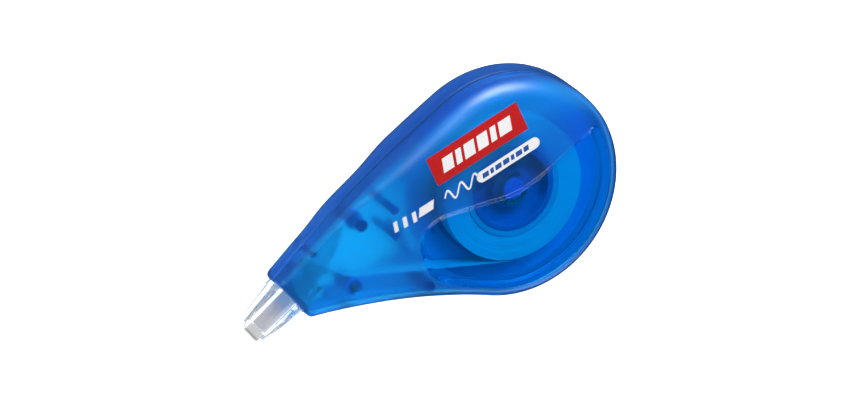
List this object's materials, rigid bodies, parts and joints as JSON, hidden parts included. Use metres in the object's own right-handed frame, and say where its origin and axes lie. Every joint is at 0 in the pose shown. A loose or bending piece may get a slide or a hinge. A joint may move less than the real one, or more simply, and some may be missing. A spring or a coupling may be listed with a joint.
{
  "type": "correction tape roller",
  "caption": "Hand-held correction tape roller: teardrop translucent case with a recessed window, coaxial supply and take-up reels, guide rollers and a clear applicator tip.",
  "frame": {"origin": "on the flat back face, on the common axis of the two reels", "axes": "+X from the applicator tip to the round head, +Y to the side where the used film runs back, +Z out of the front face with the window"},
  "size_m": [0.0876, 0.0478, 0.0154],
  "materials": {
    "case_plastic": "translucent blue, fine grain on the label side and polished in the window",
    "tip_plastic": "clear, polished",
    "dark_plastic": "satin blue-violet",
    "indigo_plastic": "satin indigo",
    "natural_plastic": "satin, slightly milky",
    "white_plastic": "satin white",
    "correction_tape": "chalky white coating in fine wound layers",
    "carrier_film": "thin greyish film",
    "rubber": "matt black",
    "spring_steel": "drawn wire, light oil sheen"
  },
  "bodies": {
    "case": {"back_cover": "case_plastic", "front_cover": "case_plastic", "applicator_tip": "tip_plastic", "reel_spindle": "indigo_plastic", "spindle_clip": "spring_steel", "back_thrust_washer": "natural_plastic", "front_thrust_washer": "indigo_plastic", "anti_reverse_ring": "natural_plastic", "lower_roller_pin": "spring_steel", "upper_roller_pin": "spring_steel", "feed_tape_run": "correction_tape", "return_film_run": "carrier_film"},
    "supply_reel": {"supply_hub": "indigo_plastic", "supply_core": "white_plastic", "supply_tape_roll": "correction_tape", "clutch_ring": "rubber", "clutch_spring": "spring_steel"},
    "take_up_reel": {"take_up_drum": "dark_plastic", "take_up_disc": "dark_plastic", "take_up_film": "carrier_film", "pawl_plate": "natural_plastic"},
    "lower_roller": {"lower_guide_roller": "indigo_plastic"},
    "upper_roller": {"upper_guide_roller": "indigo_plastic"}
  },
  "joints": [
    {"name": "supply_spin", "type": "hinge", "parent": "case", "child": "supply_reel", "pos_m": [0, 0, 0.0107], "axis": [0, 0, 1], "continuous": true},
    {"name": "take_up_spin", "type": "hinge", "parent": "case", "child": "take_up_reel", "pos_m": [0, 0, 0.0047], "axis": [0, 0, 1], "continuous": true},
    {"name": "lower_roller_spin", "type": "hinge", "parent": "case", "child": "lower_roller", "pos_m": [-0.0391, -0.0018, 0.0092], "axis": [0, 0, 1], "continuous": true},
    {"name": "upper_roller_spin", "type": "hinge", "parent": "case", "child": "upper_roller", "pos_m": [-0.0333, 0.0103, 0.0069], "axis": [0, 0, 1], "continuous": true}
  ],
  "couplings": [
    {"joint": "take_up_spin", "follows": "supply_spin", "ratio": 0.9105},
    {"joint": "lower_roller_spin", "follows": "supply_spin", "ratio": -10.44},
    {"joint": "upper_roller_spin", "follows": "supply_spin", "ratio": 10.44}
  ]
}
